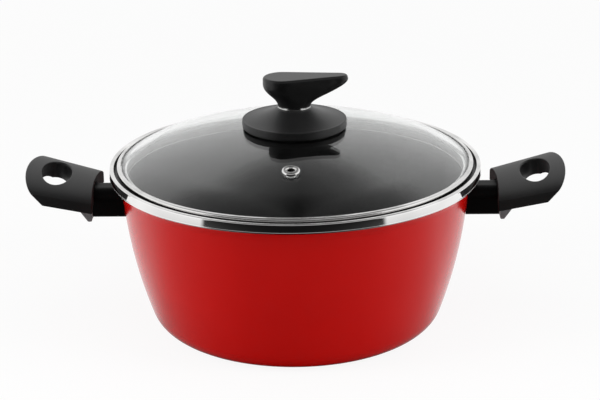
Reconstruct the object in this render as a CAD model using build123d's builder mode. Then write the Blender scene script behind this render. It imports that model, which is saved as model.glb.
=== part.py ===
"""Lidded casserole with a glass lid and two handles that slide off.

Millimetres, +Z up. The origin is the middle of the base, +X runs to one handle
and -Y is the front, where the lid's vent is. Every piece is a STEP file of its own.
"""

import os
from math import asin, atan2, copysign, cos, pi, radians, sin, sqrt

from build123d import *

os.makedirs("parts", exist_ok=True)

# Pot
pot_height = 113.0  # base to the top of the rim band
rim_radius = 125.0  # outside of the rim band
rim_overhang = 7.8  # rim band past the wall below it
wall = 3.0
floor_thickness = 4.0
shoulder_drop = 14.0  # top of the plain wall, below the rim
wall_lean = 3.3  # degrees, at the top of the plain wall
wall_curve = 322.0  # radius of the wall seen from the side
heel_radius = 18.0
band_sheet = 0.7  # rim band thickness
band_skirt = 6.7  # rim band height
band_top = 3.0  # rim band width seen from above
band_round = 1.0
hem_radius = 0.8  # rolled lower hem
hem_bulge = 0.15  # hem past the skirt
hem_gap = 0.4  # hem to the flare
crimp_gap = 0.05
ledge_drop = 3.4  # lid ledge below the rim
ledge_edge = 1.0  # rounding of the ledge's inner edge
flange_reach = 10.0  # rim band's flange, on which the lid rests

# Lid
lid_play = 2.0  # radial gap from the lid band to the rim band
seat_gap = 0.1
lid_sheet = 0.5  # lid band thickness
lid_lip = 2.7  # lid band's lip on top of the glass
lid_foot = 5.0  # lid band's flange below the glass
lid_round = 0.8
glass_thickness = 4.0
glass_hole = 4.0
edge_gap = 0.05
crown_radius = 320.0
shoulder_width = 20.8  # glass shoulder, from the crown to the lid band's lip
shoulder_fall = 9.7605  # from the edge of the crown down to the glass edge
vent_radius = 74.4  # vent's distance from the middle
vent_side = -1.0
vent_hole = 2.3
vent_tube = 3.9
vent_flange = 5.9
vent_foot = 5.4
vent_rise = 1.9
vent_round = 1.4
vent_sheet = 0.6
vent_gap = 0.06

# Knob
gasket_radius = 33.8
gasket_height = 0.8
disc_radius = 35.0
disc_height = 5.2  # at its edge
disc_round = 0.5
cone_rise = 7.0
cone_inset = 1.8  # foot of the cone inside the edge of the disc
cone_hollow = 1.0  # how far the cone's side sags
stem_radius = 11.0
stem_foot = 11.6
stem_waist = 2.2  # narrowest height of the stem, above its foot
grip_rise = 22.0  # stem foot to the flat top
grip_edge = 1.7  # rounding of the paddle's top edge
paddle_left = 20.8
paddle_right = 36.1
paddle_tail = 13.0  # radius of the left end, seen from above
paddle_nose = 5.5  # radius of the right end
paddle_turn = 6.5  # degrees, long end towards the back
paddle_steps = 18  # points along each side of a ring
screw_radius = 2.5
thread_gap = 0.05
screw_gap = 0.15
bush_radius = 4.2
bush_length = 11.0
bush_gap = 0.02
screw_grip = 9.0  # screw inside the bush
seal_radius = 9.0
seal_height = 1.5
washer_height = 1.0
head_radius = 5.0
head_height = 3.0
drive_radius = 2.0
drive_depth = 1.6

# Handles
neck_top = 17.0  # below the rim
neck_bottom = 36.0  # below the rim
neck_half_width = 12.0
neck_round = 8.0
neck_corner = 2.0
neck_gap = 0.3  # neck to the wall
fit_gap = 0.2
tongue_drop = 20.6  # middle of the tongue, below the rim
tongue_thickness = 2.4
tongue_half_width = 7.0
tongue_reach = 9.4  # tongue inside the grip
tongue_gap = 0.15
pad_depth = 3.4
pad_half_width = 8.0
pad_below = 12.0  # pad below the tongue
neck_screw_radius = 2.0
neck_screw_head = 3.6
neck_screw_height = 2.4
neck_screw_recess = 0.6
handle_tilt = 13.65  # degrees, rising outward
handle_offset = 11.4  # grip's inner end past the rim band
handle_drop = 25.7  # underside of that end, below the rim
handle_thickness = 12.5
handle_foot = 6.4  # height of the flanks, below the arched top
handle_length = 33.7  # along the underside
handle_inner_half = 32.9
handle_outer_half = 37.1
handle_lean = 53.0  # degrees, outer end's overhang from square
handle_edge = 0.6
end_hollow = 300.0  # radius of the hollow inner end
end_bow = 330.0  # radius of the bowed outer end
hole_middle = 28.9
hole_half_length = 9.75
hole_half_width = 22.2
hole_round = 1.2
recess_depth = 1.5  # neck inside the grip's end
recess_gap = 1.2  # round the neck
joint_gap = 0.3  # grip to neck

# Release trigger
trigger_half_width = 7.5
trigger_gap = 0.4
trigger_setback = 2.4  # trigger's inner face past the grip's end
trigger_tip = 40.6  # below the rim
trigger_tip_round = 0.9
trigger_crest = 0.7  # trigger to the tongue above it
trigger_web = 1.6  # trigger's arm past the strip
trigger_swing = 2.0  # room for the trigger's top to swing inward
pivot_setback = 10.8
pivot_drop = 27.4
pivot_boss = 3.0
pin_radius = 1.25
pin_gap = 0.05
lug_width = 3.5
lug_boss = 3.2
boss_floor = 1.8  # boss below the strip
boss_wall = 1.6  # boss past the strip's ends
pocket_front = 1.4  # pocket past the trigger's inner face
strip_width = 4.4
strip_sheet = 0.75
strip_drop = 24.4
strip_bearing = 4.4  # strip's ends inside the grip
strip_gap = 0.1
strip_slack = 0.25
strip_setback = 0.4
tooth_thickness = 1.4
tooth_half_width = 2.4
tooth_bite = 1.6  # into the tongue
tooth_gap = 0.3
tooth_setback = 0.2


def on_circle(centre, radius, angle):
    """Point on a circle in the half plane of radius and height."""
    return (centre[0] + radius * cos(angle), centre[1] + radius * sin(angle))


def outward(centre, radius, height):
    """Radius at which a circle in that half plane reaches a height."""
    return centre[0] + sqrt(radius**2 - (height - centre[1]) ** 2)


# Pot body
wall_top_radius = rim_radius - rim_overhang
wall_top = pot_height - shoulder_drop
lean = radians(wall_lean)
wall_centre = (wall_top_radius - wall_curve * cos(lean), wall_top + wall_curve * sin(lean))


def heel_centre(inset, bottom):
    """Middle of the heel's arc, which touches the floor plane and the wall's arc."""
    small = heel_radius - inset
    height = bottom + small
    reach = wall_curve - inset - small
    return (outward(wall_centre, reach, height), height)


def turn_angle(centre):
    """Direction from the wall's middle to the heel's, where the arcs meet."""
    return atan2(centre[1] - wall_centre[1], centre[0] - wall_centre[0])


outer_heel = heel_centre(0, 0)
outer_turn = turn_angle(outer_heel)
inner_heel = heel_centre(wall, floor_thickness)
inner_turn = turn_angle(inner_heel)
inner_curve = wall_curve - wall
inner_heel_radius = heel_radius - wall
lip_outer = rim_radius - band_sheet - crimp_gap
lip_inner = rim_radius - band_top + band_sheet + crimp_gap
lip_top = pot_height - band_sheet - crimp_gap
ledge_top = pot_height - ledge_drop
flare_top = pot_height - band_skirt + 2 * hem_radius + hem_gap
pot_ledge = ledge_top - band_sheet - crimp_gap
inner_top = pot_ledge - ledge_edge
mouth_radius = outward(wall_centre, inner_curve, inner_top)
mouth_angle = atan2(inner_top - wall_centre[1], mouth_radius - wall_centre[0])

with BuildPart() as pot_body:
    with BuildSketch(Plane.XZ):
        with BuildLine():
            Line((0, 0), (outer_heel[0], 0))
            ThreePointArc(
                (outer_heel[0], 0),
                on_circle(outer_heel, heel_radius, (outer_turn - pi / 2) / 2),
                on_circle(outer_heel, heel_radius, outer_turn),
            )
            ThreePointArc(
                on_circle(wall_centre, wall_curve, outer_turn),
                on_circle(wall_centre, wall_curve, (outer_turn - lean) / 2),
                (wall_top_radius, wall_top),
            )
            TangentArc(
                (wall_top_radius, wall_top),
                (lip_outer, flare_top),
                tangent=(sin(lean), cos(lean)),
            )
            Polyline(
                (lip_outer, flare_top),
                (lip_outer, lip_top),
                (lip_inner, lip_top),
                (lip_inner, pot_ledge),
                (mouth_radius + ledge_edge, pot_ledge),
            )
            ThreePointArc(
                (mouth_radius + ledge_edge, pot_ledge),
                on_circle((mouth_radius + ledge_edge, inner_top), ledge_edge, 3 * pi / 4),
                (mouth_radius, inner_top),
            )
            ThreePointArc(
                (mouth_radius, inner_top),
                on_circle(wall_centre, inner_curve, (inner_turn + mouth_angle) / 2),
                on_circle(wall_centre, inner_curve, inner_turn),
            )
            ThreePointArc(
                on_circle(wall_centre, inner_curve, inner_turn),
                on_circle(inner_heel, inner_heel_radius, (inner_turn - pi / 2) / 2),
                (inner_heel[0], floor_thickness),
            )
            Polyline((inner_heel[0], floor_thickness), (0, floor_thickness), (0, 0))
        make_face()
    revolve(axis=Axis.Z)

# Rim band
band_inner = rim_radius - band_top
flange_inner = band_inner - flange_reach
hem_middle = pot_height - band_skirt + hem_radius
with BuildPart() as rim_band:
    with BuildSketch(Plane.XZ) as band_profile:
        with BuildLine():
            Polyline(
                (flange_inner, ledge_top - band_sheet),
                (flange_inner, ledge_top),
                (band_inner, ledge_top),
                (band_inner, pot_height),
                (rim_radius, pot_height),
                (rim_radius, hem_middle),
                (rim_radius - band_sheet, hem_middle),
                (rim_radius - band_sheet, pot_height - band_sheet),
                (band_inner + band_sheet, pot_height - band_sheet),
                (band_inner + band_sheet, ledge_top - band_sheet),
                close=True,
            )
        make_face()
        fillet(band_profile.vertices().group_by(Axis.Y)[-1], band_round)
        with Locations((rim_radius + hem_bulge - hem_radius, hem_middle)):
            Circle(hem_radius)
    revolve(axis=Axis.Z)

# Lid band
lid_outer = band_inner - lid_play
seat = ledge_top + seat_gap
glass_low = seat + lid_sheet + edge_gap
glass_edge = glass_low + glass_thickness
lid_top = glass_edge + edge_gap + lid_sheet
with BuildPart() as lid_band:
    with BuildSketch(Plane.XZ) as lid_band_profile:
        with BuildLine():
            Polyline(
                (lid_outer - lid_foot, seat),
                (lid_outer, seat),
                (lid_outer, lid_top),
                (lid_outer - lid_lip, lid_top),
                (lid_outer - lid_lip, lid_top - lid_sheet),
                (lid_outer - lid_sheet, lid_top - lid_sheet),
                (lid_outer - lid_sheet, seat + lid_sheet),
                (lid_outer - lid_foot, seat + lid_sheet),
                close=True,
            )
        make_face()
        fillet(lid_band_profile.vertices().group_by(Axis.Y)[-1].group_by(Axis.X)[-1], lid_round)
    revolve(axis=Axis.Z)

# Lid glass
glass_radius = lid_outer - lid_sheet - edge_gap
dome_foot = lid_outer - lid_lip - lid_sheet
shoulder_start = dome_foot - shoulder_width
crown_turn = asin(shoulder_start / crown_radius)
crown_end = (shoulder_start, glass_edge + shoulder_fall)
dome_height = shoulder_fall + crown_radius * (1 - cos(crown_turn))  # crown above the glass edge
crown_centre = (0.0, glass_edge + dome_height - crown_radius)
shoulder_lean = shoulder_fall * cos(crown_turn) - shoulder_width * sin(crown_turn)
shoulder_radius = (shoulder_width**2 + shoulder_fall**2) / (2 * shoulder_lean)
shoulder_centre = (
    crown_end[0] - shoulder_radius * sin(crown_turn),
    crown_end[1] - shoulder_radius * cos(crown_turn),
)
foot_angle = atan2(glass_edge - shoulder_centre[1], dome_foot - shoulder_centre[0])
inner_crown = crown_radius - glass_thickness
inner_shoulder = shoulder_radius - glass_thickness
inner_foot = outward(shoulder_centre, inner_shoulder, glass_low)
inner_foot_angle = atan2(glass_low - shoulder_centre[1], inner_foot - shoulder_centre[0])


def crown_height(radius, depth=0.0):
    """Height of the crown, or of the surface a depth below it, at a radius."""
    return crown_centre[1] + sqrt((crown_radius - depth) ** 2 - radius**2)


vent_front = sqrt(vent_radius**2 - vent_side**2)
vent_point = Vector(vent_side, -vent_front, crown_height(vent_radius))
vent_normal = Vector(vent_side, -vent_front, vent_point.Z - crown_centre[1]).normalized()
vent_plane = Plane(origin=vent_point, z_dir=vent_normal)

with BuildPart() as lid_glass:
    with BuildSketch(Plane.XZ):
        with BuildLine():
            ThreePointArc(
                (glass_hole, crown_height(glass_hole)),
                (shoulder_start / 2, crown_height(shoulder_start / 2)),
                crown_end,
            )
            ThreePointArc(
                crown_end,
                on_circle(shoulder_centre, shoulder_radius, (pi / 2 - crown_turn + foot_angle) / 2),
                (dome_foot, glass_edge),
            )
            Polyline(
                (dome_foot, glass_edge),
                (glass_radius, glass_edge),
                (glass_radius, glass_low),
                (inner_foot, glass_low),
            )
            ThreePointArc(
                (inner_foot, glass_low),
                on_circle(
                    shoulder_centre, inner_shoulder, (pi / 2 - crown_turn + inner_foot_angle) / 2
                ),
                on_circle(crown_centre, inner_crown, pi / 2 - crown_turn),
            )
            ThreePointArc(
                on_circle(crown_centre, inner_crown, pi / 2 - crown_turn),
                on_circle(crown_centre, inner_crown, (pi - crown_turn) / 2),
                (glass_hole, crown_height(glass_hole, glass_thickness)),
            )
            Line(
                (glass_hole, crown_height(glass_hole, glass_thickness)),
                (glass_hole, crown_height(glass_hole)),
            )
        make_face()
    revolve(axis=Axis.Z)
    with Locations(vent_plane.location):
        Cylinder(vent_tube + edge_gap, 4 * glass_thickness, mode=Mode.SUBTRACT)

# Vent eyelet, drawn upright and then set on the dome
vent_under = -glass_thickness - vent_gap
with BuildPart() as eyelet:
    with BuildSketch(Plane.XZ) as eyelet_profile:
        with BuildLine():
            Polyline(
                (vent_hole, vent_rise),
                (vent_flange, vent_rise),
                (vent_flange, 0),
                (vent_tube, 0),
                (vent_tube, vent_under),
                (vent_foot, vent_under),
                (vent_foot, vent_under - vent_sheet),
                (vent_hole, vent_under - vent_sheet),
                close=True,
            )
        make_face()
        fillet(eyelet_profile.vertices().group_by(Axis.Y)[-1], vent_round)
    revolve(axis=Axis.Z)
with BuildPart() as vent_eyelet:
    add(eyelet.part.moved(vent_plane.location))

# Knob seal and base
bore = screw_radius + screw_gap


def seal_arc(radius, depth):
    """Arc that follows the crown at a depth, from the screw's bore to a radius."""
    return ThreePointArc(
        (bore, crown_height(bore, depth)),
        (radius / 2, crown_height(radius / 2, depth)),
        (radius, crown_height(radius, depth)),
    )


with BuildPart() as knob_gasket:
    with BuildSketch(Plane.XZ):
        with BuildLine():
            below = seal_arc(gasket_radius, 0.0)
            above = seal_arc(gasket_radius, -gasket_height)
            Line(below @ 0, above @ 0)
            Line(below @ 1, above @ 1)
        make_face()
    revolve(axis=Axis.Z)

base_edge = crown_height(disc_radius, -gasket_height)
disc_top = base_edge + disc_height
cone_top = disc_top + cone_rise
cone_foot = disc_radius - cone_inset
cone_end = stem_foot + disc_round
cone_slope = atan2(cone_rise, cone_foot - cone_end)
cone_middle = (
    (cone_foot + cone_end) / 2 - cone_hollow * sin(cone_slope),
    (disc_top + cone_top) / 2 - cone_hollow * cos(cone_slope),
)
with BuildPart() as knob_base:
    with BuildSketch(Plane.XZ) as knob_base_profile:
        with BuildLine():
            underside = seal_arc(disc_radius, -gasket_height)
            Polyline((cone_end, cone_top), (bore, cone_top), underside @ 0)
            Polyline(underside @ 1, (disc_radius, disc_top), (cone_foot, disc_top))
            ThreePointArc((cone_foot, disc_top), cone_middle, (cone_end, cone_top))
        make_face()
        fillet(knob_base_profile.vertices().group_by(Axis.X)[-1], disc_round)
    revolve(axis=Axis.Z)

# Knob grip
grip_low = cone_top
grip_top = grip_low + grip_rise
bush_low = grip_low
grip_waist = grip_low + stem_waist


def spread(share, speed=1.0):
    """How far the paddle has opened from the stem at a share of its height."""
    eased = min(1.0, share * speed)
    return eased * eased * (3 - 2 * eased)


def paddle_ring(share, inset=0.0):
    """Points round the paddle at a share of its height, drawn in by an inset.

    The outline is a tail circle and a nose circle joined by straight sides.
    """
    left = stem_radius + (paddle_left - stem_radius) * spread(share, 1.28)
    right = stem_radius + (paddle_right - stem_radius) * spread(share, 1.08)
    tail = stem_radius + (paddle_tail - stem_radius) * spread(share)
    nose = stem_radius + (paddle_nose - stem_radius) * spread(share)
    tail_x = tail - left
    nose_x = right - nose
    span = nose_x - tail_x
    slope = asin((tail - nose) / span) if span > 0 else 0.0
    turn = pi / 2 - slope
    tail = tail - inset
    nose = nose - inset
    nose_arc = nose * turn
    side = span * cos(slope)
    half_round = nose_arc + side + tail * (pi - turn)
    points = []
    for step in range(-paddle_steps, paddle_steps):
        run = half_round * abs(step) / paddle_steps
        if run < nose_arc:
            point = on_circle((nose_x, 0), nose, run / nose)
        elif run < nose_arc + side:
            start = on_circle((nose_x, 0), nose, turn)
            point = on_circle(start, run - nose_arc, turn + pi / 2)
        else:
            point = on_circle((tail_x, 0), tail, turn + (run - nose_arc - side) / tail)
        points.append((point[0], copysign(point[1], step)))
    return points


def paddle_plane(height):
    """Plane of the ring at a height, turned about the stem."""
    turn = radians(paddle_turn)
    return Plane(origin=(0, 0, height), x_dir=(cos(turn), sin(turn), 0), z_dir=(0, 0, 1))


paddle_rise = grip_rise - stem_waist - grip_edge
paddle_high = grip_waist + paddle_rise
with BuildPart() as knob_grip:
    with BuildSketch(paddle_plane(grip_low)):
        with BuildLine():
            Spline(*paddle_ring(0.0, stem_radius - stem_foot), periodic=True)
        make_face()
    for share in (0.0, 0.18, 0.4, 0.6, 0.8, 1.0):
        with BuildSketch(paddle_plane(grip_waist + paddle_rise * share)):
            with BuildLine():
                Spline(*paddle_ring(share), periodic=True)
            make_face()
    loft()
    for turn in (0, 30, 60, 90):
        with BuildSketch(paddle_plane(paddle_high + grip_edge * sin(radians(turn)))):
            with BuildLine():
                Spline(*paddle_ring(1.0, grip_edge * (1 - cos(radians(turn)))), periodic=True)
            make_face()
    loft()
    with Locations((0, 0, bush_low)):
        Cylinder(
            bush_radius + bush_gap,
            bush_length + bush_gap,
            align=(Align.CENTER, Align.CENTER, Align.MIN),
            mode=Mode.SUBTRACT,
        )

with BuildPart() as knob_insert:
    with Locations((0, 0, bush_low)):
        Cylinder(bush_radius, bush_length, align=(Align.CENTER, Align.CENTER, Align.MIN))
        Cylinder(
            screw_radius + thread_gap,
            bush_length,
            align=(Align.CENTER, Align.CENTER, Align.MIN),
            mode=Mode.SUBTRACT,
        )

# Screw, washer and seal under the glass
seal_top = crown_height(seal_radius, glass_thickness)
seal_low = seal_top - seal_height
washer_low = seal_low - washer_height
with BuildPart() as lid_seal:
    with Locations((0, 0, seal_low)):
        Cylinder(seal_radius, seal_height, align=(Align.CENTER, Align.CENTER, Align.MIN))
        Cylinder(
            bore, seal_height, align=(Align.CENTER, Align.CENTER, Align.MIN), mode=Mode.SUBTRACT
        )

with BuildPart() as lid_washer:
    with Locations((0, 0, washer_low)):
        Cylinder(seal_radius, washer_height, align=(Align.CENTER, Align.CENTER, Align.MIN))
        Cylinder(
            bore, washer_height, align=(Align.CENTER, Align.CENTER, Align.MIN), mode=Mode.SUBTRACT
        )

with BuildPart() as lid_screw:
    with BuildSketch(Plane.XY.offset(washer_low)):
        Circle(head_radius)
    extrude(amount=-head_height)
    fillet(lid_screw.faces().sort_by(Axis.Z)[0].edges(), head_height / 3)
    with BuildSketch(Plane.XY.offset(washer_low)):
        Circle(screw_radius)
    extrude(amount=bush_low + screw_grip - washer_low)
    with BuildSketch(Plane.XY.offset(washer_low - head_height)):
        RegularPolygon(drive_radius, 6)
    extrude(amount=drive_depth, mode=Mode.SUBTRACT)


def wall_form(gap):
    """Solid that fills the pot's outer wall below its shoulder, grown by a gap."""
    grown = wall_curve + gap
    low = on_circle(wall_centre, grown, outer_turn)
    high = on_circle(wall_centre, grown, -lean)
    with BuildPart() as form:
        with BuildSketch(Plane.XZ):
            with BuildLine():
                ThreePointArc(low, on_circle(wall_centre, grown, (outer_turn - lean) / 2), high)
                Polyline(high, (0, high[1]), (0, low[1]), low)
            make_face()
        revolve(axis=Axis.Z)
    return form.part


def block(x_range, half_width, z_range, mode=Mode.ADD):
    """Box centred on the handle's middle plane."""
    with Locations(((x_range[0] + x_range[1]) / 2, 0, (z_range[0] + z_range[1]) / 2)):
        Box(x_range[1] - x_range[0], 2 * half_width, z_range[1] - z_range[0], mode=mode)


# Heights and stations of a handle
tongue_mid = pot_height - tongue_drop
tongue_low = tongue_mid - tongue_thickness / 2
tongue_high = tongue_mid + tongue_thickness / 2
wall_station = outward(wall_centre, wall_curve, tongue_mid)
handle_start = rim_radius + handle_offset
tongue_end = handle_start + tongue_reach
pad_face = wall_station + pad_depth
neck_low = pot_height - neck_bottom
neck_high = pot_height - neck_top
tilt = radians(handle_tilt)
handle_plane = Plane(
    origin=(handle_start, 0, pot_height - handle_drop),
    x_dir=(cos(tilt), 0, sin(tilt)),
    z_dir=(-sin(tilt), 0, cos(tilt)),
)
neck_end = handle_start + recess_depth - joint_gap
screw_station = (pad_face + handle_start) / 2

trigger_face = handle_start + trigger_setback
strip_start = trigger_face + strip_setback
strip_end = strip_start + strip_width
strip_high = pot_height - strip_drop + strip_sheet / 2
strip_low = strip_high - strip_sheet
tooth_start = strip_start + tooth_setback
tooth_end = tooth_start + tooth_thickness
trigger_high = tongue_low - trigger_crest
pivot_x = handle_start + pivot_setback
pivot_z = pot_height - pivot_drop
tip_z = pot_height - trigger_tip
pocket_half = trigger_half_width + trigger_gap
pocket_start = trigger_face - pocket_front
pocket_end = pivot_x + pivot_boss + trigger_gap
strip_half = pocket_half + strip_bearing
boss_low = strip_low - boss_floor

# Bracket
with BuildPart() as bracket_right:
    block(
        (wall_station - pad_depth, pad_face),
        pad_half_width,
        (tongue_low - pad_below, tongue_high),
    )
    add(wall_form(0), mode=Mode.SUBTRACT)
    block((pad_face - pad_depth / 2, tongue_end), tongue_half_width, (tongue_low, tongue_high))
    with Locations((screw_station, 0, tongue_mid)):
        Cylinder(neck_screw_radius + thread_gap, 2 * tongue_thickness, mode=Mode.SUBTRACT)
    block(
        (tooth_start - 2 * tooth_gap, tooth_end + tooth_gap),
        tooth_half_width + 2 * tooth_gap,
        (tongue_low - 1, tongue_high + 1),
        mode=Mode.SUBTRACT,
    )


def neck_outline(station, gap):
    """Cross-section of the neck at a station, grown by a gap."""
    with BuildSketch(Plane.YZ.offset(station)) as outline:
        with Locations((0, (neck_low + neck_high) / 2)):
            Rectangle(2 * (neck_half_width + gap), neck_high - neck_low + 2 * gap)
        fillet(outline.vertices().group_by(Axis.Y)[-1], neck_round + gap)
        fillet(outline.vertices().group_by(Axis.Y)[0], neck_corner + gap)
    return outline.sketch


# Neck
with BuildPart() as neck_right:
    extrude(neck_outline(0, 0), amount=neck_end)
    add(wall_form(neck_gap), mode=Mode.SUBTRACT)
    block(
        (0, pad_face + fit_gap),
        pad_half_width + fit_gap,
        (tongue_low - pad_below - fit_gap, tongue_high + fit_gap),
        mode=Mode.SUBTRACT,
    )
    block(
        (0, tongue_end),
        tongue_half_width + tongue_gap,
        (tongue_low - tongue_gap, tongue_high + tongue_gap),
        mode=Mode.SUBTRACT,
    )
    block(
        (trigger_face - trigger_swing, tongue_end),
        pocket_half,
        (pivot_z, tongue_low),
        mode=Mode.SUBTRACT,
    )
    with Locations((screw_station, 0, neck_low)):
        Cylinder(
            neck_screw_radius + thread_gap,
            tongue_low - neck_low,
            align=(Align.CENTER, Align.CENTER, Align.MIN),
            mode=Mode.SUBTRACT,
        )
        Cylinder(
            neck_screw_head + fit_gap,
            2 * (neck_screw_recess + neck_screw_height),
            mode=Mode.SUBTRACT,
        )

with BuildPart() as neck_screw_right:
    with Locations((screw_station, 0, neck_low + neck_screw_recess)):
        Cylinder(
            neck_screw_head, neck_screw_height, align=(Align.CENTER, Align.CENTER, Align.MIN)
        )
        Cylinder(
            neck_screw_radius,
            tongue_high - neck_low - neck_screw_recess,
            align=(Align.CENTER, Align.CENTER, Align.MIN),
        )
        Box(1, 1.4 * neck_screw_head, neck_screw_height, mode=Mode.SUBTRACT)


def arch(station):
    """Cross-section of the grip at a station along it."""
    half = handle_inner_half + (handle_outer_half - handle_inner_half) * station / handle_length
    plane = Plane(
        origin=handle_plane.origin + handle_plane.x_dir * station,
        x_dir=handle_plane.y_dir,
        z_dir=handle_plane.x_dir,
    )
    with BuildSketch(plane) as section:
        with BuildLine():
            Polyline((-half, handle_foot), (-half, 0), (half, 0), (half, handle_foot))
            EllipticalCenterArc(
                (0, handle_foot), half, handle_thickness - handle_foot, start_angle=0, arc_size=180
            )
        make_face()
    return section.sketch


# Grip: an arched bar, hollowed at its inner end and overhanging at its outer end
end_half = handle_inner_half + handle_outer_half
end_station = handle_length - end_bow + sqrt(end_bow**2 - end_half**2)
end_slant = radians(handle_lean)
end_way = handle_plane.z_dir * cos(end_slant) + handle_plane.x_dir * sin(end_slant)
hole_point = handle_plane.from_local_coords(Vector(hole_middle, 0, handle_thickness / 2))
with BuildPart() as grip_right:
    loft([arch(-handle_thickness), arch(handle_length + 2 * handle_thickness)], ruled=True)
    with BuildSketch(handle_plane):
        with BuildLine():
            ThreePointArc((end_station, -end_half), (handle_length, 0), (end_station, end_half))
            Polyline(
                (end_station, end_half),
                (-3 * handle_thickness, end_half),
                (-3 * handle_thickness, -end_half),
                (end_station, -end_half),
            )
        make_face()
    extrude(amount=3 * handle_thickness, dir=end_way, both=True, mode=Mode.INTERSECT)
    with Locations((handle_start - end_hollow, 0, pot_height - handle_drop)):
        Cylinder(end_hollow, 6 * handle_thickness, mode=Mode.SUBTRACT)
    ends = grip_right.faces().sort_by(Axis.X)
    fillet(ends[0].edges() + ends[-1].edges(), handle_edge)
    with BuildSketch(handle_plane):
        with Locations((hole_middle, 0)):
            Ellipse(hole_half_length, hole_half_width)
    extrude(amount=2 * handle_thickness, both=True, mode=Mode.SUBTRACT)
    hole_wall = grip_right.faces().sort_by_distance(hole_point)[0]
    fillet(hole_wall.edges().filter_by(lambda edge: edge.is_closed), hole_round)
    extrude(neck_outline(handle_start + recess_depth, recess_gap), amount=-neck_end, mode=Mode.SUBTRACT)
    block(
        (handle_start + recess_depth, pivot_x + lug_boss),
        strip_half + boss_wall,
        (boss_low, tongue_low),
    )
    for side in (-1, 1):
        with Locations((pivot_x, side * (pocket_half + lug_width / 2), pivot_z)):
            Cylinder(lug_boss, lug_width, rotation=(90, 0, 0))
    block((pocket_start, pocket_end), pocket_half, (tip_z, tongue_low), mode=Mode.SUBTRACT)
    block(
        (handle_start - handle_thickness, tongue_end + 2 * tongue_gap),
        tongue_half_width + tongue_gap,
        (tongue_low - tongue_gap, tongue_high + tongue_gap),
        mode=Mode.SUBTRACT,
    )
    block(
        (strip_start - strip_gap, strip_end + strip_gap),
        strip_half + strip_gap,
        (strip_low - strip_gap, strip_high + strip_gap),
        mode=Mode.SUBTRACT,
    )
    with Locations((pivot_x, 0, pivot_z)):
        Cylinder(
            pin_radius + bush_gap, 3 * (pocket_half + lug_width), rotation=(90, 0, 0), mode=Mode.SUBTRACT
        )

# Latch spring, trigger pin and trigger
with BuildPart() as latch_spring_right:
    block((strip_start, strip_end), strip_half, (strip_low, strip_high))
    block((tooth_start, tooth_end), tooth_half_width, (strip_low, tongue_low + tooth_bite))

with BuildPart() as trigger_pin_right:
    with Locations((pivot_x, 0, pivot_z)):
        Cylinder(pin_radius, 2 * (pocket_half + lug_width - fit_gap), rotation=(90, 0, 0))

with BuildPart() as trigger_right:
    with BuildSketch(Plane.XZ) as trigger_side:
        with BuildLine():
            Polyline(
                (trigger_face, trigger_high),
                (strip_end + trigger_web, trigger_high),
                (pivot_x, pivot_z + pivot_boss),
                (pivot_x + pivot_boss * cos(pi / 4), pivot_z - pivot_boss * sin(pi / 4)),
                (trigger_face + 3 * trigger_tip_round, tip_z),
                (trigger_face, tip_z),
                close=True,
            )
        make_face()
        fillet(trigger_side.vertices().group_by(Axis.Y)[0], trigger_tip_round)
        with Locations((pivot_x, pivot_z)):
            Circle(pivot_boss)
    extrude(amount=trigger_half_width, both=True)
    block(
        (trigger_face - 1, strip_end + strip_slack),
        trigger_half_width + 1,
        (strip_low - strip_slack, strip_high + strip_slack),
        mode=Mode.SUBTRACT,
    )
    block(
        (trigger_face - 1, tooth_end + strip_slack),
        tooth_half_width + strip_slack,
        (strip_low, trigger_high + 1),
        mode=Mode.SUBTRACT,
    )
    with Locations((pivot_x, 0, pivot_z)):
        Cylinder(pin_radius + pin_gap, 3 * trigger_half_width, rotation=(90, 0, 0), mode=Mode.SUBTRACT)

pieces = {
    "pot_body": pot_body.part,
    "rim_band": rim_band.part,
    "lid_band": lid_band.part,
    "lid_glass": lid_glass.part,
    "vent_eyelet": vent_eyelet.part,
    "knob_gasket": knob_gasket.part,
    "knob_base": knob_base.part,
    "knob_grip": knob_grip.part,
    "knob_insert": knob_insert.part,
    "lid_seal": lid_seal.part,
    "lid_washer": lid_washer.part,
    "lid_screw": lid_screw.part,
}
handed = {
    "bracket": bracket_right.part,
    "neck": neck_right.part,
    "neck_screw": neck_screw_right.part,
    "grip": grip_right.part,
    "latch_spring": latch_spring_right.part,
    "trigger_pin": trigger_pin_right.part,
    "trigger": trigger_right.part,
}
for name, piece in handed.items():
    pieces[name + "_right"] = piece
    pieces[name + "_left"] = piece.rotate(Axis.Z, 180)
for name, piece in pieces.items():
    piece.label = name
    export_step(piece, "parts/" + name + ".step")
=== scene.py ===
"""Studio picture of the casserole: finishes, finely turned lid, latch strips cut in halves, light and camera.
"""

from math import acos, asin, cos, pi, radians, sin, sqrt

import bmesh
import bpy
from mathutils import Matrix, Vector


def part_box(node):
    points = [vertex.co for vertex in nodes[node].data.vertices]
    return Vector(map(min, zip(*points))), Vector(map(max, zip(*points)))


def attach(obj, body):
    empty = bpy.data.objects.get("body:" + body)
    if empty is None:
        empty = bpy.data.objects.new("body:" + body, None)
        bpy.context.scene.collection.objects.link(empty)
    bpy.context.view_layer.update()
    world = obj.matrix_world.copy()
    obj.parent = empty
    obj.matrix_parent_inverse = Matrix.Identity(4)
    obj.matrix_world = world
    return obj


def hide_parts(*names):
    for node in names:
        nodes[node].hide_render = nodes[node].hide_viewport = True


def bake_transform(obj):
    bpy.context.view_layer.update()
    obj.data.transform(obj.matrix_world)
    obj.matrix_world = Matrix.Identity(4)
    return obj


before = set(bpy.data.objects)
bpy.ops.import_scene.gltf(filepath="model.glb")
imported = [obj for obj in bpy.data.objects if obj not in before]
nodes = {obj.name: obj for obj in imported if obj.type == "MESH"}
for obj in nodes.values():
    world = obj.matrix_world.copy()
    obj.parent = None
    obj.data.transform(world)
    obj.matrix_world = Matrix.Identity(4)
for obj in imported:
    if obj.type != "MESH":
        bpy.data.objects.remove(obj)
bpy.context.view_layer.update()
scene = bpy.context.scene

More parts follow.
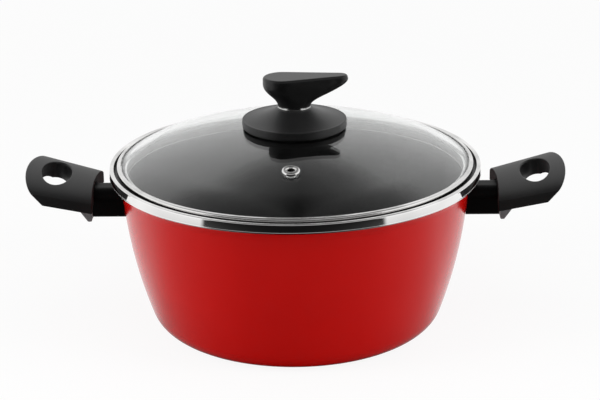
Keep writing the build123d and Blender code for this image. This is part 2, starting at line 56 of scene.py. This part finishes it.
# Places read from the solids, in metres
MM = 0.001
UP = (0.0, 0.0, 1.0)
LEVEL = (1.0, 1.0, 0.0)  # keeps a vector's level part
rim_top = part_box("rim_band")[1].z
stem_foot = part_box("knob_grip")[0].z
trigger_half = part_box("trigger_right")[1].y
band_low, band_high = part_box("lid_band")
glass_low, glass_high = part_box("lid_glass")

# Lid glass and band
BAND_SHEET = 0.5 * MM
BAND_ROUND = 1.3 * MM
BAND_LIP = 2.7 * MM  # on top of the glass
BAND_FLANGE = 5.0 * MM  # below the glass
GLASS_THICKNESS = 4.0 * MM
CROWN_RADIUS = 320.0 * MM
SHOULDER_WIDTH = 20.8 * MM
SHOULDER_FALL = 9.7605 * MM
KNOB_HOLE = 4.0 * MM  # radius
VENT_PLACE = (-1.0 * MM, -74.393 * MM)
VENT_HOLE = 3.95 * MM  # radius
DRILL_DEPTH = 4 * GLASS_THICKNESS

# Bright step on the wall inside the mouth
STEP_TOP = 103.5 * MM
STEP_DEPTH = 1.7 * MM
STEP_INNER = 112.2 * MM
STEP_OUTER = 114.5 * MM
STEP_NOSE = 0.3 * MM
STEP_ROUND = 0.25 * MM

# Latch strips
STRIP_HOLD = trigger_half + 0.05 * MM  # inner end of the stretch where a strip is cut, just beyond the trigger's side
STRIP_SEAT = STRIP_HOLD + 0.3 * MM  # outer end of that stretch
STRIP_CUTS = 6
WELD = 0.001 * MM

# Fineness of turned pieces
TURNS = 360
CROWN_STEPS = 60
SHOULDER_STEPS = 24
OUTER_FOLD_STEPS = 10
INNER_FOLD_STEPS = 6
NOSE_STEPS = 6
DRILL_SIDES = 64
CREASE = radians(28.0)

# Finishes
COLLAR = (stem_foot + 1.165 * MM, stem_foot + 2.365 * MM)  # bright line round the foot of the knob's stem
PLATING_SHARE = 0.5  # its roughness, of the plastic's
LEDGE_COAT = (113.3 * MM, 122.4 * MM, 112.2 * MM)  # black ledge under the lid
COAT_ROUGHNESS = 0.45
BARE_STEP = 103.1 * MM  # inside coat's upper edge, with bare metal above it
TOP_SHARE = 0.62  # steel's brightness on its upper faces, darkened as painted shade
STAIN_SHARE = 0.93  # steel's brightness in its stains
END_ROUGHNESS = 0.95  # of a grip's end towards the pot
FINE_SHARE = 0.65  # of the fine grain in a plastic's tone, the rest being broad wear

# Studio: white to the camera, and in shiny surfaces tones by height with a dark front
AMBIENT = 0.34  # brightness that lights matte surfaces
FRONT_EDGE = 0.56  # cosine of half the dark front's width
FLOOR_FRONT_EDGE = 0.67  # the same on the floor
EDGE_SOFTNESS = 0.02
DARK_FRONT = 0.008
FRONT_PANEL = 0.45  # pale panel above the camera
FRONT = [(0.2, DARK_FRONT), (0.36, FRONT_PANEL), (0.72, FRONT_PANEL), (0.86, DARK_FRONT)]
CEILING = (0.86, 0.98)  # heights between which the front gives way to the backdrop
SIDE_WIDTH = 0.34
SIDE_LIFT = 0.18  # how far the backdrop's tones rise at the sides
BACKDROP = [
    (0.0, 1.0),
    (0.45, 1.0),
    (0.515, 0.9),
    (0.57, 0.64),
    (0.63, 0.41),
    (0.73, 0.25),
    (0.83, 0.14),
    (0.92, 0.07),
]
FLOOR_HALF = 6.0
FLOOR_TONE = 0.86
FLOOR_GLOW = (0.9, 1.0)  # share of white that the camera sees, beside the pot and far from it
GLOW_REACH = (0.5, 2.0)  # distances between which that share changes
NEAR_REACH = (0.33, 0.43)  # distances between which the near tones give way to the far ones
NEAR_FLOOR = [
    (0.0, 0.0),
    (0.085, 0.08),
    (0.19, 0.22),
    (0.34, 0.46),
    (0.42, 0.66),
    (0.5, 0.88),
    (0.65, 1.0),
]  # mirrored brightness of the floor beside the pot, from front to back
LAMP_TARGET = (0.0, 0.0, 0.06)

# Camera: fitted to the photograph's lid band, rim, wall and base
CAMERA_RANGE = 1.1
CAMERA_HEIGHT = rim_top + 0.3638
YAW = radians(1.3)
PAN = -0.0027
PITCH = 0.3427
ROLL = -0.0137
FOCAL_PIXELS = 1713.2
IMAGE_WIDTH = 600.0
SENSOR_WIDTH = 36.0


def grey(tone):
    return (tone, tone, tone)


class Shader:
    """A node tree of a material or the world, with short calls for its nodes and links."""

    def __init__(self, name, tree_owner=None):
        self.owner = tree_owner or bpy.data.materials.new(name)
        self.owner.use_nodes = True
        self.tree = self.owner.node_tree
        self.tree.nodes.clear()

    def node(self, kind, **values):
        made = self.tree.nodes.new(kind)
        for key, value in values.items():
            setattr(made, key, value)
        return made

    def link(self, source, target):
        self.tree.links.new(source, target)

    def feed(self, socket, value):
        """Link value if it is a socket, and set it if it is a number or colour."""
        if isinstance(value, bpy.types.NodeSocket):
            self.link(value, socket)
        else:
            socket.default_value = value

    def math(self, operation, *values):
        made = self.node("ShaderNodeMath", operation=operation)
        for socket, value in zip(made.inputs, values):
            self.feed(socket, value)
        return made.outputs[0]

    def vector(self, operation, *values, output=0):
        made = self.node("ShaderNodeVectorMath", operation=operation)
        for socket, value in zip(made.inputs, values):
            self.feed(socket, value)
        return made.outputs[output]

    def dot(self, first, second):
        return self.vector("DOT_PRODUCT", first, second, output=1)

    def length(self, source):
        return self.vector("LENGTH", source, output=1)

    def heading(self, source):
        """The level direction of a vector, of length 1."""
        return self.vector("NORMALIZE", self.vector("MULTIPLY", source, LEVEL))

    def height(self, source):
        parts = self.node("ShaderNodeSeparateXYZ")
        self.link(source, parts.inputs[0])
        return parts.outputs[2]

    def place(self):
        return self.node("ShaderNodeTexCoord").outputs["Object"]

    def normal(self):
        return self.node("ShaderNodeNewGeometry").outputs["True Normal"]

    def noise(self, scale, detail=4.0, rough=0.5, vector=None):
        made = self.node("ShaderNodeTexNoise")
        made.inputs["Scale"].default_value = scale
        made.inputs["Detail"].default_value = detail
        made.inputs["Roughness"].default_value = rough
        self.link(vector or self.place(), made.inputs["Vector"])
        return made.outputs["Fac"]

    def ramp(self, source, stops):
        """Source as a tone or colour between stops."""
        made = self.node("ShaderNodeValToRGB")
        points = made.color_ramp.elements
        while len(points) < len(stops):
            points.new(0.5)
        for point, (position, colour) in zip(points, stops):
            point.position = position
            point.color = (*(colour if isinstance(colour, tuple) else grey(colour)), 1.0)
        self.link(source, made.inputs[0])
        return made.outputs[0]

    def span(self, source, low, high, start=0.0, end=1.0, smooth=False):
        """Source from start to end as a value from low to high."""
        made = self.node("ShaderNodeMapRange", interpolation_type="SMOOTHSTEP" if smooth else "LINEAR")
        for socket, value in zip(made.inputs, (source, start, end, low, high)):
            self.feed(socket, value)
        return made.outputs[0]

    def mix(self, fac, first, second):
        """A colour between two."""
        made = self.node("ShaderNodeMix", data_type="RGBA")
        self.feed(made.inputs[0], fac)
        for socket, value in ((made.inputs[6], first), (made.inputs[7], second)):
            self.feed(socket, (*value, 1.0) if isinstance(value, tuple) else value)
        return made.outputs[2]

    def between(self, fac, first, second):
        """A number between two."""
        made = self.node("ShaderNodeMix", data_type="FLOAT")
        for socket, value in ((made.inputs[0], fac), (made.inputs[2], first), (made.inputs[3], second)):
            self.feed(socket, value)
        return made.outputs[0]

    def bump(self, height, depth, strength):
        made = self.node("ShaderNodeBump")
        made.inputs["Strength"].default_value = strength
        made.inputs["Distance"].default_value = depth
        self.link(height, made.inputs["Height"])
        return made.outputs[0]

    def surface(self, **values):
        """A Principled surface as the material's result."""
        shader = self.node("ShaderNodeBsdfPrincipled")
        for key, value in values.items():
            socket = shader.inputs[key.replace("_", " ")]
            self.feed(socket, (*value, 1.0) if isinstance(value, tuple) else value)
        self.link(shader.outputs[0], self.node("ShaderNodeOutputMaterial").inputs[0])
        return self.owner


def coated_pot():
    """Glossy red coat outside; inside, a black coat with pale flecks and bare grey metal above it."""
    m = Shader("red_and_black_coat")
    place = m.place()
    normal = m.normal()
    facing = m.dot(normal, m.heading(place))
    outside = m.math("GREATER_THAN", m.math("SUBTRACT", facing, m.dot(normal, UP)), 0.0)
    cloud = m.noise(scale=14.0, detail=3.0, rough=0.55, vector=place)
    fleck = m.noise(scale=1900.0, detail=1.0, vector=place)
    peel = m.noise(scale=420.0, detail=2.0, vector=place)
    red = m.ramp(cloud, [(0.3, (0.39, 0.0018, 0.0010)), (0.7, (0.43, 0.0024, 0.0013))])
    coat = m.ramp(fleck, [(0.62, (0.005, 0.005, 0.0052)), (0.72, (0.03, 0.03, 0.031))])
    metal = m.ramp(cloud, [(0.3, 0.3), (0.7, 0.36)])
    inside = m.mix(m.math("GREATER_THAN", m.height(place), BARE_STEP), coat, metal)
    rough_red = m.span(m.noise(scale=60.0, detail=2.0, vector=place), low=0.16, high=0.2)
    rough_inside = m.span(fleck, low=0.34, high=0.5)
    return m.surface(
        Base_Color=m.mix(outside, inside, red),
        Roughness=m.between(outside, rough_inside, rough_red),
        IOR=1.42,
        Normal=m.bump(peel, depth=0.02 * MM, strength=0.35),
    )


def polished_steel(name, colour, roughness, lines, coat=None, top_share=TOP_SHARE):
    """Metal turned on a lathe: faint rings round the pot's axis, soft stains, and upper faces darker as
    painted shade.

    A coat gives the inner radius, outer radius and top of a band that is coated black.
    """
    m = Shader(name)
    place = m.place()
    radius = m.length(m.vector("MULTIPLY", place, LEVEL))
    height = m.height(place)
    rings = m.node("ShaderNodeCombineXYZ")
    m.link(radius, rings.inputs[0])
    m.link(height, rings.inputs[1])
    grain = m.noise(scale=lines, detail=2.0, rough=0.6, vector=rings.outputs[0])
    stain = m.noise(scale=38.0, detail=3.0, vector=place)
    dark = tuple(STAIN_SHARE * part for part in colour)
    # upper faces darker than the sides: painted shade, mixed with the stains
    painted_shade_top = tuple(top_share * part for part in colour)
    side = m.ramp(stain, [(0.35, dark), (0.65, colour)])
    top = m.ramp(stain, [(0.35, painted_shade_top), (0.65, dark)])
    bare = m.mix(m.span(m.dot(m.normal(), UP), low=0.0, high=1.0, start=0.3, end=0.8), side, top)
    rough = m.span(m.math("MULTIPLY", grain, stain), low=roughness[0], high=roughness[1])
    metal = 1.0
    if coat:
        inner, outer, coat_top = coat
        ring = m.math("MULTIPLY", m.math("GREATER_THAN", radius, inner), m.math("LESS_THAN", radius, outer))
        coated = m.math("MULTIPLY", ring, m.math("LESS_THAN", height, coat_top))
        metal = m.math("SUBTRACT", 1.0, coated)
        bare = m.mix(coated, bare, m.ramp(stain, [(0.35, 0.004), (0.65, 0.008)]))
        rough = m.math("MAXIMUM", rough, m.math("MULTIPLY", coated, COAT_ROUGHNESS))
    return m.surface(
        Base_Color=bare,
        Metallic=metal,
        Roughness=rough,
        Normal=m.bump(grain, depth=0.004 * MM, strength=0.25),
    )


def clear_glass():
    """Tempered glass with a faint green edge and a few soft smears."""
    m = Shader("tempered_glass")
    smear = m.noise(scale=24.0, detail=5.0, rough=0.6)
    return m.surface(
        Base_Color=m.ramp(smear, [(0.4, (0.975, 0.985, 0.98)), (0.7, (0.955, 0.972, 0.965))]),
        Roughness=m.ramp(smear, [(0.62, 0.0), (0.9, 0.05)]),
        IOR=1.52,
        Transmission_Weight=1.0,
    )


def grained_plastic(name, tones, roughness, grain, depth, sheen, collar=(0.0, 0.0), rough_end=False):
    """Moulded plastic with a fine sparked grain and slight wear in its tone.

    A collar gives the foot and top of a bright plated line. A rough end faces the pot's axis.
    """
    m = Shader(name)
    place = m.place()
    fine = m.noise(scale=grain, detail=3.0, rough=0.62, vector=place)
    broad = m.noise(scale=35.0, detail=3.0, vector=place)
    tone = m.math("ADD", m.math("MULTIPLY", fine, FINE_SHARE), m.math("MULTIPLY", broad, 1.0 - FINE_SHARE))
    height = m.height(place)
    above = m.math("GREATER_THAN", height, collar[0])
    plated = m.math("MULTIPLY", above, m.math("LESS_THAN", height, collar[1]))
    grained = m.math("SUBTRACT", 1.0, plated)
    moulded = m.ramp(tone, [(0.36, tones[0]), (0.64, tones[1])])
    plating = m.ramp(tone, [(0.36, (0.5, 0.5, 0.495)), (0.64, (0.58, 0.58, 0.57))])
    rough = m.span(tone, low=roughness[0], high=roughness[1])
    rough = m.math("MULTIPLY", rough, m.span(grained, low=PLATING_SHARE, high=1.0))
    if rough_end:
        facing = m.dot(m.normal(), m.heading(place))
        rough = m.math("MAXIMUM", rough, m.span(facing, low=END_ROUGHNESS, high=0.0, start=-0.8, end=-0.6))
    return m.surface(
        Base_Color=m.mix(plated, moulded, plating),
        Metallic=plated,
        Roughness=rough,
        Specular_IOR_Level=sheen,
        Normal=m.bump(m.math("MULTIPLY", fine, grained), depth=depth, strength=0.6),
    )


def rubber():
    m = Shader("black_silicone")
    fine = m.noise(scale=900.0, detail=2.0)
    return m.surface(
        Base_Color=m.ramp(fine, [(0.3, 0.003), (0.7, 0.007)]),
        Roughness=m.span(fine, low=0.55, high=0.7),
        Normal=m.bump(fine, depth=0.02 * MM, strength=0.4),
    )


red_coat = coated_pot()
rim_steel = polished_steel(
    "rim_steel", colour=(0.92, 0.915, 0.905), roughness=(0.03, 0.12), lines=2600.0, coat=LEDGE_COAT
)
bright_steel = polished_steel(
    "bright_steel", colour=(0.86, 0.855, 0.845), roughness=(0.1, 0.2), lines=2600.0
)
step_steel = polished_steel(
    "step_steel", colour=(0.92, 0.915, 0.905), roughness=(0.04, 0.1), lines=2600.0, top_share=1.0
)
plain_steel = polished_steel(
    "plain_steel", colour=(0.62, 0.62, 0.61), roughness=(0.22, 0.42), lines=1400.0
)
brass = polished_steel(
    "turned_brass", colour=(0.74, 0.55, 0.26), roughness=(0.2, 0.36), lines=1500.0
)
glass = clear_glass()
knob_plastic = grained_plastic(
    "knob_plastic",
    tones=((0.0015, 0.0015, 0.0016), (0.004, 0.004, 0.0041)),
    roughness=(0.32, 0.46),
    grain=1500.0,
    depth=0.06 * MM,
    sheen=0.5,
    collar=COLLAR,
)
disc_plastic = grained_plastic(
    "disc_plastic",
    tones=((0.002, 0.002, 0.0021), (0.007, 0.007, 0.0072)),
    roughness=(0.4, 0.52),
    grain=1200.0,
    depth=0.15 * MM,
    sheen=0.65,
)
handle_plastic = grained_plastic(
    "handle_plastic",
    tones=((0.003, 0.003, 0.0031), (0.009, 0.009, 0.0092)),
    roughness=(0.4, 0.54),
    grain=1500.0,
    depth=0.07 * MM,
    sheen=0.35,
    rough_end=True,
)
neck_plastic = grained_plastic(
    "neck_plastic",
    tones=((0.001, 0.001, 0.001), (0.0025, 0.0025, 0.0026)),
    roughness=(0.4, 0.5),
    grain=1500.0,
    depth=0.03 * MM,
    sheen=0.08,
)
trigger_plastic = grained_plastic(
    "trigger_plastic",
    tones=((0.10, 0.10, 0.102), (0.14, 0.14, 0.143)),
    roughness=(0.42, 0.6),
    grain=1300.0,
    depth=0.06 * MM,
    sheen=0.4,
)
seal_rubber = rubber()


def arc(centre, radius, start, end, steps):
    """Points along an arc from one angle to another."""
    angles = [start + (end - start) * step / steps for step in range(steps + 1)]
    return [(centre[0] + radius * cos(a), centre[1] + radius * sin(a)) for a in angles]


def new_piece(name, mesh, finish):
    mesh.materials.append(finish)
    piece = bpy.data.objects.new(name, mesh)
    scene.collection.objects.link(piece)
    return piece


def turned(name, outline, finish):
    """A closed outline of radius and height, turned round the pot's axis."""
    rows = len(outline)
    points = []
    for turn in range(TURNS):
        angle = 2 * pi * turn / TURNS
        points += [(r * cos(angle), r * sin(angle), z) for r, z in outline]
    faces = []
    for turn in range(TURNS):
        here, there = turn * rows, (turn + 1) % TURNS * rows
        for row in range(rows):
            after = (row + 1) % rows
            faces.append((here + row, there + row, there + after, here + after))
    mesh = bpy.data.meshes.new(name)
    mesh.from_pydata(points, [], faces)
    return new_piece(name, mesh, finish)


def settle(piece, body):
    """Smooth shading with sharp folds, and the piece on its body."""
    piece.data.shade_smooth()
    piece.data.set_sharp_from_angle(angle=CREASE)
    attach(piece, body)


def drill_vent(piece, place, axis):
    """Cut the vent's round hole through the glass."""
    form = bmesh.new()
    bmesh.ops.create_cone(
        form,
        cap_ends=True,
        segments=DRILL_SIDES,
        radius1=VENT_HOLE,
        radius2=VENT_HOLE,
        depth=DRILL_DEPTH,
        matrix=Matrix.Translation(place) @ axis.to_track_quat("Z", "Y").to_matrix().to_4x4(),
    )
    mesh = bpy.data.meshes.new("vent_drill")
    form.to_mesh(mesh)
    form.free()
    tool = bpy.data.objects.new("vent_drill", mesh)
    scene.collection.objects.link(tool)
    cut = piece.modifiers.new("vent", "BOOLEAN")
    cut.operation = "DIFFERENCE"
    cut.solver = "EXACT"
    cut.object = tool
    bpy.context.view_layer.update()
    drilled = bpy.data.meshes.new_from_object(piece.evaluated_get(bpy.context.evaluated_depsgraph_get()))
    piece.modifiers.clear()
    piece.data = drilled
    bpy.data.objects.remove(tool)


# Lid glass, turned finely enough for clean reflections, with the vent's hole square to the dome
glass_edge = glass_low.z + GLASS_THICKNESS
dome_foot = band_high.x - BAND_LIP - BAND_SHEET
shoulder_start = dome_foot - SHOULDER_WIDTH
crown_turn = asin(shoulder_start / CROWN_RADIUS)
crown_end = (shoulder_start, glass_edge + SHOULDER_FALL)
crown_middle = (0.0, crown_end[1] - CROWN_RADIUS * cos(crown_turn))
shoulder_lean = SHOULDER_FALL * cos(crown_turn) - SHOULDER_WIDTH * sin(crown_turn)
shoulder = (SHOULDER_WIDTH**2 + SHOULDER_FALL**2) / (2 * shoulder_lean)
shoulder_middle = (crown_end[0] - shoulder * sin(crown_turn), crown_end[1] - shoulder * cos(crown_turn))
inner_shoulder = shoulder - GLASS_THICKNESS
inner_crown = CROWN_RADIUS - GLASS_THICKNESS
join = pi / 2 - crown_turn
foot = asin((glass_edge - shoulder_middle[1]) / shoulder)
inner_foot = asin((glass_low.z - shoulder_middle[1]) / inner_shoulder)
dome = [(glass_high.x, glass_low.z), (glass_high.x, glass_edge)]
dome += arc(shoulder_middle, shoulder, foot, join, SHOULDER_STEPS)
dome += arc(crown_middle, CROWN_RADIUS, join, acos(KNOB_HOLE / CROWN_RADIUS), CROWN_STEPS)[1:]
dome += arc(crown_middle, inner_crown, acos(KNOB_HOLE / inner_crown), join, CROWN_STEPS)
dome += arc(shoulder_middle, inner_shoulder, join, inner_foot, SHOULDER_STEPS)[1:]
lid_dome = turned("lid_dome", dome, glass)
vent_axis = Vector((*VENT_PLACE, sqrt(CROWN_RADIUS**2 - VENT_PLACE[0] ** 2 - VENT_PLACE[1] ** 2)))
vent_middle = vent_axis + Vector((0.0, 0.0, crown_middle[1]))
drill_vent(lid_dome, vent_middle, vent_axis.normalized())
settle(lid_dome, "lid")
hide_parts("lid_glass")

# Lid band, folded round the edge of the glass
corner = (band_high.x - BAND_ROUND, band_high.z - BAND_ROUND)
lip_end = band_high.x - BAND_LIP
flange_end = band_high.x - BAND_FLANGE
band = [(flange_end, band_low.z), (band_high.x, band_low.z)]
band += arc(corner, BAND_ROUND, 0.0, pi / 2, OUTER_FOLD_STEPS)
band += [(lip_end, band_high.z), (lip_end, band_high.z - BAND_SHEET)]
band += arc(corner, BAND_ROUND - BAND_SHEET, pi / 2, 0.0, INNER_FOLD_STEPS)
band += [(band_high.x - BAND_SHEET, band_low.z + BAND_SHEET), (flange_end, band_low.z + BAND_SHEET)]
lid_fold = turned("lid_fold", band, bright_steel)
settle(lid_fold, "lid")
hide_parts("lid_band")

# Bright step inside the mouth, at the coat's upper edge
step = [(STEP_INNER, STEP_TOP - STEP_NOSE), (STEP_OUTER, STEP_TOP - STEP_DEPTH), (STEP_OUTER, STEP_TOP)]
step += arc((STEP_INNER + STEP_ROUND, STEP_TOP - STEP_ROUND), STEP_ROUND, pi / 2, pi, NOSE_STEPS)
mouth_step = turned("mouth_step", step, step_steel)
settle(mouth_step, "pot")


def half_strip(name, node, way):
    """The half of a CAD strip that lies to one side of the middle, with cuts where it bends."""
    form = bmesh.new()
    form.from_mesh(node.data)
    form.transform(node.matrix_world)
    bmesh.ops.remove_doubles(form, verts=form.verts, dist=WELD)
    halved = bmesh.ops.bisect_plane(
        form,
        geom=form.verts[:] + form.edges[:] + form.faces[:],
        plane_co=(0.0, 0.0, 0.0),
        plane_no=(0.0, way, 0.0),
        clear_inner=True,
    )
    open_edges = [part for part in halved["geom_cut"] if isinstance(part, bmesh.types.BMEdge)]
    bmesh.ops.triangle_fill(form, use_dissolve=True, edges=open_edges)
    for cut in range(STRIP_CUTS + 1):
        reach = STRIP_HOLD + (STRIP_SEAT - STRIP_HOLD) * cut / STRIP_CUTS
        bmesh.ops.bisect_plane(
            form,
            geom=form.verts[:] + form.edges[:] + form.faces[:],
            plane_co=(0.0, way * reach, 0.0),
            plane_no=(0.0, way, 0.0),
        )
    bmesh.ops.recalc_face_normals(form, faces=form.faces)
    mesh = bpy.data.meshes.new(name)
    form.to_mesh(mesh)
    form.free()
    return new_piece(name, mesh, plain_steel)


# Latch strips in two halves each, with cuts across the stretch between the trigger's side and the grip
for side in ("right", "left"):
    for end_name, way in (("front", -1.0), ("back", 1.0)):
        half = half_strip("latch_strip_" + side + "_" + end_name, nodes["latch_spring_" + side], way)
        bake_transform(half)
        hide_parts("latch_spring_" + side)

# Finishes of the solids
finishes = {
    "pot_body": red_coat,
    "rim_band": rim_steel,
    "lid_band": bright_steel,
    "vent_eyelet": bright_steel,
    "lid_glass": glass,
    "knob_gasket": seal_rubber,
    "knob_base": disc_plastic,
    "knob_grip": knob_plastic,
    "knob_insert": brass,
    "lid_seal": seal_rubber,
    "lid_washer": plain_steel,
    "lid_screw": plain_steel,
}
for side in ("right", "left"):
    finishes["bracket_" + side] = plain_steel
    finishes["neck_" + side] = neck_plastic
    finishes["neck_screw_" + side] = plain_steel
    finishes["grip_" + side] = handle_plastic
    finishes["latch_spring_" + side] = plain_steel
    finishes["trigger_pin_" + side] = plain_steel
    finishes["trigger_" + side] = trigger_plastic
for name, finish in finishes.items():
    nodes[name].material_slots[0].material = finish


def front_share(m, direction, edge):
    """1 in the dark front sector and 0 outside it."""
    ahead = m.dot(m.heading(direction), (0.0, -1.0, 0.0))
    return m.span(ahead, low=0.0, high=1.0, start=edge - EDGE_SOFTNESS, end=edge + EDGE_SOFTNESS, smooth=True)


def ray_kinds(m):
    """1 for rays from the camera, and 1 for rays that left a shiny or clear surface."""
    path = m.node("ShaderNodeLightPath")
    both = m.math("ADD", path.outputs["Is Glossy Ray"], path.outputs["Is Transmission Ray"])
    return path.outputs["Is Camera Ray"], m.math("MINIMUM", both, 1.0)


def studio():
    """White to the camera; in shiny surfaces white all round, with a dark front and ceiling."""
    world = bpy.data.worlds.new("studio")
    w = Shader("studio", world)
    direction = w.node("ShaderNodeTexCoord").outputs["Generated"]
    height = w.height(direction)
    sideways = w.math("ABSOLUTE", w.dot(w.heading(direction), (1.0, 0.0, 0.0)))
    lift = w.math("MULTIPLY", w.math("MINIMUM", w.math("DIVIDE", sideways, SIDE_WIDTH), 1.0), SIDE_LIFT)
    backdrop = w.ramp(w.math("SUBTRACT", height, lift), BACKDROP)
    front = w.ramp(height, FRONT)
    below_zenith = w.span(height, 1.0, 0.0, *CEILING)
    dark_share = w.math("MULTIPLY", front_share(w, direction, FRONT_EDGE), below_zenith)
    camera_ray, shine_ray = ray_kinds(w)
    lit = w.mix(shine_ray, grey(AMBIENT), w.mix(dark_share, backdrop, front))
    background = w.node("ShaderNodeBackground")
    w.link(w.mix(camera_ray, lit, grey(1.0)), background.inputs[0])
    w.link(background.outputs[0], w.node("ShaderNodeOutputWorld").inputs[0])
    return world


def white_floor():
    """Pale paper that takes the shadow, whiter to the camera, with the studio's tones in shiny surfaces."""
    m = Shader("white_floor")
    place = m.node("ShaderNodeNewGeometry").outputs["Position"]
    far_tone = m.mix(front_share(m, place, FLOOR_FRONT_EDGE), grey(1.0), grey(DARK_FRONT))
    behind = m.span(m.dot(m.heading(place), (0.0, 1.0, 0.0)), low=0.0, high=1.0, start=-1.0, end=1.0)
    near_tone = m.ramp(behind, NEAR_FLOOR)
    reach = m.length(place)
    mirrored = m.mix(m.span(reach, 0.0, 1.0, *NEAR_REACH), near_tone, far_tone)
    camera_ray, shine_ray = ray_kinds(m)
    paper = m.node("ShaderNodeBsdfDiffuse")
    paper.inputs[0].default_value = (*grey(FLOOR_TONE), 1.0)
    white = m.node("ShaderNodeEmission")
    m.link(m.mix(camera_ray, mirrored, grey(1.0)), white.inputs[0])
    camera_glow = m.span(reach, *FLOOR_GLOW, *GLOW_REACH)
    glow = m.math("MAXIMUM", m.math("MULTIPLY", camera_ray, camera_glow), shine_ray)
    both = m.node("ShaderNodeMixShader")
    for socket, value in zip(both.inputs, (glow, paper.outputs[0], white.outputs[0])):
        m.link(value, socket)
    m.link(both.outputs[0], m.node("ShaderNodeOutputMaterial").inputs[0])
    return m.owner


scene.world = studio()
floor_mesh = bpy.data.meshes.new("floor")
floor_corners = [(x * FLOOR_HALF, y * FLOOR_HALF, 0.0) for x, y in ((-1, -1), (1, -1), (1, 1), (-1, 1))]
floor_mesh.from_pydata(floor_corners, [], [(0, 1, 2, 3)])
floor = new_piece("floor", floor_mesh, white_floor())


def softbox(name, place, size, power):
    """Area lamp that lights the object and isn't mirrored in it."""
    data = bpy.data.lights.new(name, "AREA")
    data.shape = "RECTANGLE"
    data.size, data.size_y = size
    data.energy = power
    lamp = bpy.data.objects.new(name, data)
    lamp.location = place
    lamp.rotation_euler = (Vector(LAMP_TARGET) - Vector(place)).to_track_quat("-Z", "Y").to_euler()
    lamp.visible_glossy = False
    lamp.visible_transmission = False
    lamp.visible_camera = False
    scene.collection.objects.link(lamp)


softbox("top_box", place=(0.0, -0.25, 1.5), size=(1.4, 1.2), power=6.0)
softbox("left_box", place=(-1.4, -0.5, 0.6), size=(0.7, 1.1), power=18.5)
softbox("right_box", place=(1.4, -0.5, 0.6), size=(0.7, 1.1), power=17.0)

heading = YAW + PAN
ahead = Vector((-sin(heading) * cos(PITCH), cos(heading) * cos(PITCH), -sin(PITCH)))
level_right = Vector((cos(heading), sin(heading), 0.0))
level_up = level_right.cross(ahead)
right = level_right * cos(ROLL) + level_up * sin(ROLL)
up = level_up * cos(ROLL) - level_right * sin(ROLL)
camera_data = bpy.data.cameras.new("camera")
camera_data.sensor_width = SENSOR_WIDTH
camera_data.lens = FOCAL_PIXELS / IMAGE_WIDTH * SENSOR_WIDTH
camera = bpy.data.objects.new("camera", camera_data)
camera_place = (CAMERA_RANGE * sin(YAW), -CAMERA_RANGE * cos(YAW), CAMERA_HEIGHT)
camera_turn = Matrix((right, up, -ahead)).transposed().to_4x4()
camera.matrix_world = Matrix.Translation(camera_place) @ camera_turn
scene.collection.objects.link(camera)
scene.camera = camera

scene.view_settings.view_transform = "Standard"
